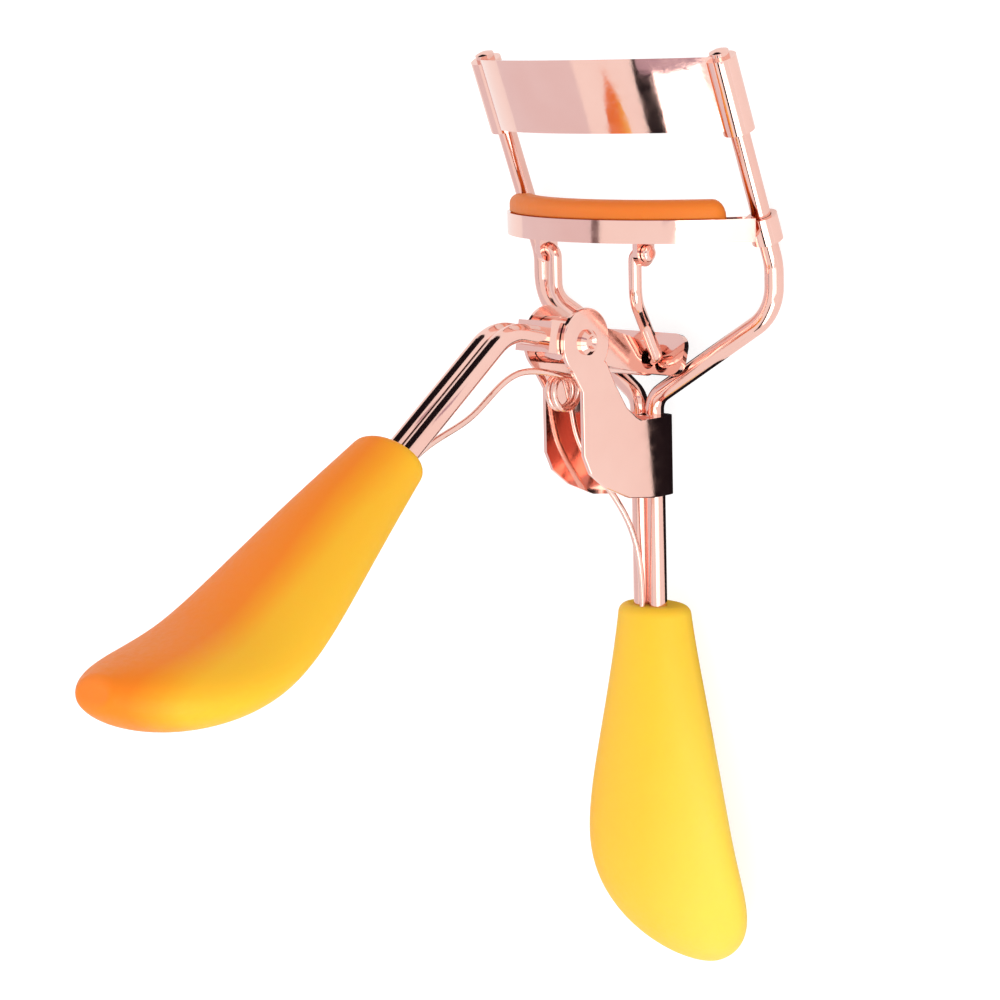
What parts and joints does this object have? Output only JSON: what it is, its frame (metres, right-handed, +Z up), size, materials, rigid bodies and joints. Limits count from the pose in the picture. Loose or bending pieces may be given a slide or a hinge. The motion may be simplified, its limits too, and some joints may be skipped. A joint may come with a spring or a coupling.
{
  "type": "eyelash curler",
  "caption": "Eyelash curler with a curved upper jaw, a sliding lower jaw with a soft lash pad, and a spring lever between two grips, lying on its back.",
  "frame": {"origin": "centre of the bounding box's underside, on the surface the tool lies on", "axes": "+X across the jaws, +Y along the tool towards the jaws, +Z up, the side the moving handle swings to"},
  "size_m": [0.0386, 0.1126, 0.0913],
  "materials": {
    "plated_steel": "mirror rose-gold plate",
    "spring_wire": "plated spring wire",
    "grip_shell": "soft matte",
    "lash_rubber": "satin silicone"
  },
  "bodies": {
    "frame": {"frame_wire_left": "plated_steel", "frame_wire_right": "plated_steel", "upper_jaw": "plated_steel", "clamp": "plated_steel", "pivot_rivet": "plated_steel", "fixed_grip": "grip_shell", "spring": "spring_wire"},
    "lever": {"lever_head": "plated_steel", "lever_wire_left": "plated_steel", "lever_wire_right": "plated_steel", "moving_grip": "grip_shell"},
    "lower_jaw": {"lower_jaw": "plated_steel", "lash_pad": "lash_rubber"},
    "link_left": {"link_left": "plated_steel"},
    "link_right": {"link_right": "plated_steel"}
  },
  "joints": [
    {"name": "lever_hinge", "type": "hinge", "parent": "frame", "child": "lever", "pos_m": [0, 0.02462, 0.01758], "axis": [1, 0, 0], "range_deg": [0, 42], "stiffness_Nm_per_rad": 0.05, "springref_deg": -20.05, "deforming": ["spring"]},
    {"name": "jaw_slide", "type": "slide", "parent": "frame", "child": "lower_jaw", "axis": [0, 0.9638, 0.2668], "range_m": [0, 0.00788]},
    {"name": "link_left_swing", "type": "hinge", "parent": "lower_jaw", "child": "link_left", "pos_m": [0, 0.03382, 0.0114], "axis": [1, 0, 0], "range_deg": [0, 9.64]},
    {"name": "link_right_swing", "type": "hinge", "parent": "lower_jaw", "child": "link_right", "pos_m": [0, 0.03382, 0.0114], "axis": [1, 0, 0], "range_deg": [0, 9.64]}
  ],
  "couplings": [
    {"joint": "jaw_slide", "follows": "lever_hinge", "m_per_rad": 0.010735},
    {"joint": "link_left_swing", "follows": "lever_hinge", "ratio": 0.2284},
    {"joint": "link_right_swing", "follows": "lever_hinge", "ratio": 0.2284}
  ]
}
